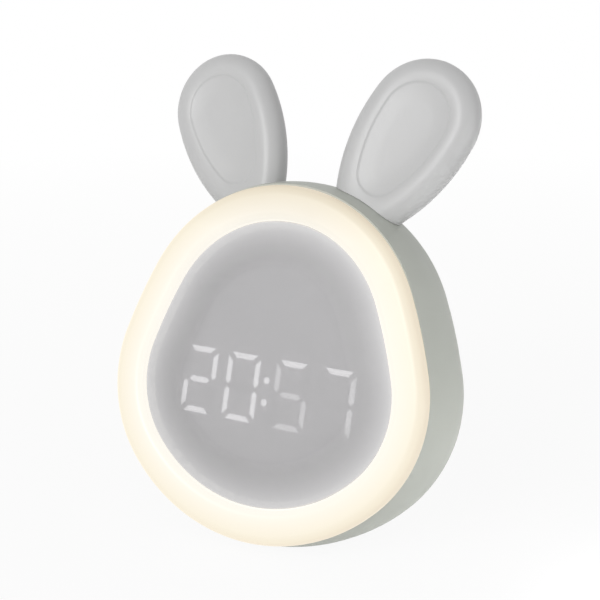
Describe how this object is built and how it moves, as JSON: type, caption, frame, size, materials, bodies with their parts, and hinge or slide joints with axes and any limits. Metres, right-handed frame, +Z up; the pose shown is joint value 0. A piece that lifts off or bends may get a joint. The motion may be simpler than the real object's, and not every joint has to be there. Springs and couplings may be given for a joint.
{
  "type": "alarm clock with night light",
  "caption": "Bedside alarm clock shaped like a rabbit's head, with a lit ring around a grey display window, two upright ears and a domed back.",
  "frame": {"origin": "middle of the bounding box, on the surface that the clock stands on", "axes": "X to the viewer's right along the width, Y from the face towards the back, Z up"},
  "size_m": [0.1396, 0.086, 0.1804],
  "materials": {
    "key_grey": "satin",
    "cell_wrap": "plastic wrapped metal can",
    "inner_frame": "matt",
    "screw_steel": "zinc plated",
    "inlet_steel": "plated",
    "chip_black": "matt",
    "circuit_board": "solder mask",
    "display_mask": "matt",
    "display_reflector": "matt",
    "display_segments": "clear light guides",
    "foot_rubber": "matt",
    "lamp_board": "white solder mask",
    "socket_white": "matt",
    "ear_shell": "satin",
    "zinc_plate": "zinc plated",
    "opal_diffuser": "opal, satin",
    "housing_shell": "satin",
    "ring_lamps": "phosphor",
    "basket_steel": "plated",
    "speaker_paper": "matt",
    "magnet_steel": "plated",
    "window_grey": "translucent grey, satin"
  },
  "bodies": {
    "clock": {"battery_cell": "cell_wrap", "battery_cradle": "inner_frame", "case_screws": "screw_steel", "charge_inlet": "inlet_steel", "clock_chip": "chip_black", "cradle_screws": "screw_steel", "display_board": "circuit_board", "display_mask": "display_mask", "display_reflector": "display_reflector", "display_screws": "screw_steel", "display_segments": "display_segments", "ear_screws": "screw_steel", "foot_plate": "foot_rubber", "inner_frame": "inner_frame", "key_board": "circuit_board", "key_board_screws": "screw_steel", "key_switches": "chip_black", "lamp_board": "lamp_board", "lead_sockets": "socket_white", "left_ear_back": "ear_shell", "left_ear_clamp": "zinc_plate", "left_ear_shell": "ear_shell", "light_ring": "opal_diffuser", "main_board": "circuit_board", "main_board_screws": "screw_steel", "rear_housing": "housing_shell", "right_ear_back": "ear_shell", "right_ear_clamp": "zinc_plate", "right_ear_shell": "ear_shell", "ring_lamps": "ring_lamps", "slide_switch": "chip_black", "speaker_basket": "basket_steel", "speaker_clamp": "inner_frame", "speaker_cone": "speaker_paper", "speaker_magnet": "magnet_steel", "speaker_screws": "screw_steel", "window_pane": "window_grey"},
    "light_key": {"light_key": "key_grey"},
    "down_key": {"down_key": "key_grey"},
    "up_key": {"up_key": "key_grey"},
    "set_key": {"set_key": "key_grey"},
    "alarm_slide": {"alarm_slide": "key_grey"}
  },
  "joints": [
    {"name": "light_key_press", "type": "slide", "parent": "clock", "child": "light_key", "axis": [0, -0.9608, 0.2773], "range_m": [0, 0.0006], "stiffness_N_per_m": 300},
    {"name": "down_key_press", "type": "slide", "parent": "clock", "child": "down_key", "axis": [0, -0.9608, 0.2773], "range_m": [0, 0.0006], "stiffness_N_per_m": 300},
    {"name": "up_key_press", "type": "slide", "parent": "clock", "child": "up_key", "axis": [0, -0.9608, 0.2773], "range_m": [0, 0.0006], "stiffness_N_per_m": 300},
    {"name": "set_key_press", "type": "slide", "parent": "clock", "child": "set_key", "axis": [0, -0.9608, 0.2773], "range_m": [0, 0.0006], "stiffness_N_per_m": 300},
    {"name": "alarm_slide_shift", "type": "slide", "parent": "clock", "child": "alarm_slide", "axis": [1, 0, 0], "range_m": [0, 0.003]}
  ]
}
